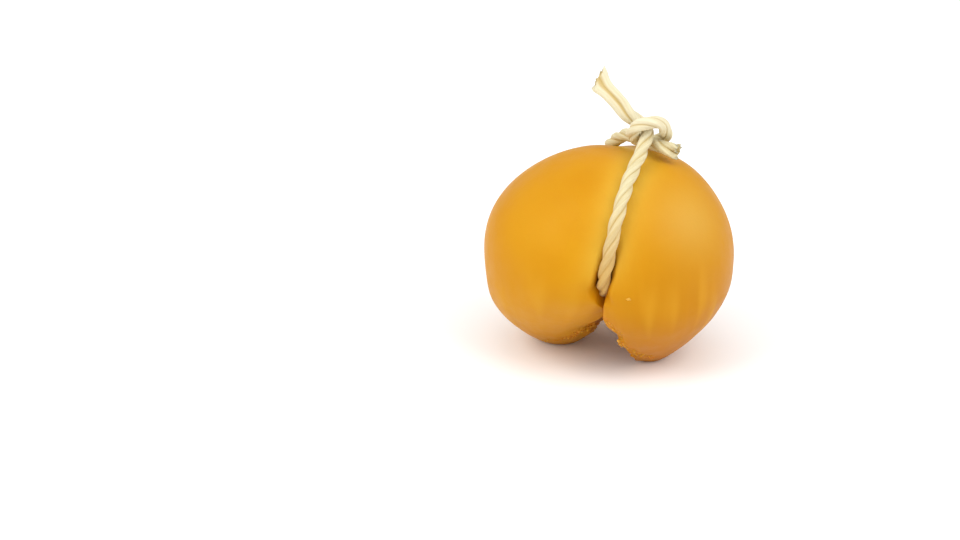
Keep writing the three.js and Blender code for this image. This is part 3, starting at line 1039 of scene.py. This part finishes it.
def cheese_material():
    shader = Shader("smoked_skin")
    place = shader.add("TexCoord").outputs["Object"]
    mottle = shader.noise(place, scale=32.0, detail=2.0)
    fine_mottle = shader.noise(place, scale=140.0, detail=3.0, roughness=0.6)
    pore = shader.noise(place, scale=900.0, detail=2.0)
    lighter = shader.spread(mottle, low=0.3, high=0.7)
    streak = shader.spread(shader.mask("streak"), low=0.0, high=0.9, to_high=SKIN_STREAK_SHARE)
    # Pale band beside the tie: partly unsmoked skin, partly painted light and a painted highlight
    pale_band_and_painted_light = shader.times(shader.mask("pale_band_and_painted_light"), SKIN_PALE_BAND_AND_LIGHT_SHARE)
    # Painted highlight on the right shoulder
    painted_highlight = shader.times(shader.mask("painted_highlight"), SKIN_PAINTED_HIGHLIGHT_SHARE)
    # Painted shade on the cleft's inner faces
    painted_cleft_shade = shader.times(shader.mask("painted_cleft_shade"), SKIN_PAINTED_CLEFT_SHADE_SHARE)
    torn = shader.times(shader.mask("torn"), shader.spread(fine_mottle, low=0.4, high=0.62))
    colour = shader.mix(lighter, srgb(*SKIN_DARKER), srgb(*SKIN_LIGHTER))
    colour = shader.mix(shader.mask("low"), colour, srgb(*SKIN_LOW))
    colour = shader.mix(streak, colour, srgb(*SKIN_STREAK))
    colour = shader.mix(pale_band_and_painted_light, colour, srgb(*SKIN_PALE_BAND_AND_LIGHT))
    colour = shader.mix(painted_highlight, colour, srgb(*SKIN_PAINTED_HIGHLIGHT))
    colour = shader.mix(painted_cleft_shade, colour, srgb(*SKIN_PAINTED_CLEFT_SHADE))
    colour = shader.mix(torn, colour, srgb(*SKIN_TORN))
    colour = shader.mix(shader.mask("crumb"), colour, srgb(*SKIN_CRUMB))
    roughness = shader.spread(fine_mottle, low=0.25, high=0.75, to_low=0.42, to_high=0.54)
    normal = shader.bump(fine_mottle, distance=0.0005, strength=0.25)
    normal = shader.bump(pore, distance=0.0001, strength=0.2, normal=normal)
    shader.put(shader.surface.inputs["Base Color"], colour)
    shader.put(shader.surface.inputs["Roughness"], roughness)
    shader.put(shader.surface.inputs["Normal"], normal)
    shader.surface.inputs["Subsurface Weight"].default_value = 0.12
    shader.surface.inputs["Subsurface Radius"].default_value = (1.0, 0.5, 0.15)
    shader.surface.inputs["Subsurface Scale"].default_value = 0.003
    shader.surface.inputs["Specular IOR Level"].default_value = 0.2
    shader.surface.inputs["Specular Tint"].default_value = (0.85, 1.0, 0.45, 1.0)
    return shader.material


def cord_material():
    shader = Shader("twisted_fibre")
    along = shader.add("Attribute", attribute_name="fibre").outputs["Vector"]
    fibre = shader.noise(along, scale=2.6, detail=4.0, roughness=0.6)
    streak = shader.noise(along, scale=1.3, detail=2.0)
    lighter = shader.spread(fibre, low=0.3, high=0.7)
    # Painted light: paler high up, at the knot and tail
    painted_top_light = shader.times(shader.mask("painted_top_light"), CORD_PAINTED_TOP_LIGHT_SHARE)
    band = shader.times(shader.spread(streak, low=0.45, high=0.7), CORD_BAND_SHARE)
    # Painted shade: darker and warmer in the valleys between the strands
    valley = shader.times(shader.spread(shader.mask("outward"), low=0.85, high=0.6), CORD_PAINTED_VALLEY_SHADE_SHARE)
    # Partly stain from the cheese, partly painted shade and bounce light, low on the cord's front
    stain_and_shade = shader.times(shader.mask("stain_and_shade"), CORD_STAIN_AND_SHADE_SHARE)
    colour = shader.mix(lighter, srgb(*CORD_DARKER), srgb(*CORD_LIGHTER))
    colour = shader.mix(painted_top_light, colour, srgb(*CORD_PAINTED_TOP_LIGHT))
    colour = shader.mix(band, colour, srgb(*CORD_BAND))
    colour = shader.mix(valley, colour, srgb(*CORD_PAINTED_VALLEY_SHADE))
    colour = shader.mix(stain_and_shade, colour, srgb(*CORD_STAIN_AND_SHADE))
    roughness = shader.spread(fibre, low=0.2, high=0.8, to_low=0.5, to_high=0.75)
    shader.put(shader.surface.inputs["Base Color"], colour)
    shader.put(shader.surface.inputs["Roughness"], roughness)
    shader.put(shader.surface.inputs["Normal"], shader.bump(fibre, distance=0.0003, strength=0.6))
    shader.surface.inputs["Sheen Weight"].default_value = 0.1
    return shader.material


def floor_material():
    shader = Shader("white_floor")
    shader.surface.inputs["Base Color"].default_value = (0.98, 0.98, 0.98, 1.0)
    shader.surface.inputs["Roughness"].default_value = 0.9
    shader.surface.inputs["Specular IOR Level"].default_value = 0.0
    return shader.material


# Stage, light and camera

def add_floor():
    near = -FLOOR_REACH
    far = FLOOR_REACH
    corners = [(near, near, 0), (far, near, 0), (far, far, 0), (near, far, 0)]
    mesh = bpy.data.meshes.new("floor")
    mesh.from_pydata(corners, [], [(0, 1, 2, 3)])
    mesh.materials.append(floor_material())
    floor = bpy.data.objects.new("floor", mesh)
    bpy.context.scene.collection.objects.link(floor)


def direction(azimuth, elevation):
    """From the cheese towards a place, by the angle round from the front and the angle up, in radians."""
    level = math.cos(elevation)
    return Vector((math.sin(azimuth) * level, -math.cos(azimuth) * level, math.sin(elevation)))


def add_light(name, azimuth, elevation, distance, size, power):
    """A square lamp that faces the cheese, with its angles in degrees."""
    back = direction(math.radians(azimuth), math.radians(elevation))
    lamp = bpy.data.lights.new(name, "AREA")
    lamp.size = size
    lamp.energy = power
    made = bpy.data.objects.new(name, lamp)
    made.location = back * distance + Vector((0, 0, DOME_CENTRE_Z * MM))
    made.rotation_euler = back.to_track_quat("Z", "Y").to_euler()
    bpy.context.scene.collection.objects.link(made)


def add_world(strength):
    world = bpy.data.worlds.new("white_surround")
    world.use_nodes = True
    background = world.node_tree.nodes["Background"]
    background.inputs["Color"].default_value = (1.0, 1.0, 1.0, 1.0)
    background.inputs["Strength"].default_value = strength
    bpy.context.scene.world = world


def add_camera():
    right = Vector((math.cos(CAMERA_AZIMUTH), math.sin(CAMERA_AZIMUTH), 0))
    back = direction(CAMERA_AZIMUTH, CAMERA_ELEVATION)
    up = back.cross(right)
    focal = CAMERA_LENS / SENSOR_WIDTH * IMAGE_WIDTH
    aside = (ORIGIN_PIXEL[0] - IMAGE_WIDTH / 2) / focal
    above = (IMAGE_HEIGHT / 2 - ORIGIN_PIXEL[1]) / focal
    data = bpy.data.cameras.new("camera")
    data.lens = CAMERA_LENS
    data.sensor_width = SENSOR_WIDTH
    camera = bpy.data.objects.new("camera", data)
    turned = Matrix((right, up, back)).transposed().to_4x4()
    turned.translation = (back - right * aside - up * above) * CAMERA_DISTANCE
    camera.matrix_world = turned
    bpy.context.scene.collection.objects.link(camera)
    bpy.context.scene.camera = camera


def main():
    add_camera()
    add_world(strength=0.76)
    add_light("left_softbox", azimuth=-50, elevation=40, distance=1.3, size=0.9, power=8)
    add_light("right_softbox", azimuth=72, elevation=44, distance=1.3, size=0.9, power=7.5)
    add_light("top_softbox", azimuth=17, elevation=78, distance=1.4, size=0.9, power=2.5)
    add_floor()
    cheese = add_cheese(cheese_material())
    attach(cheese, "root")
    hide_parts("cheese")
    cord = add_cord(cord_material())
    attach(cord, "root")
    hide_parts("cord")
    bpy.context.scene.view_settings.view_transform = "Standard"


main()
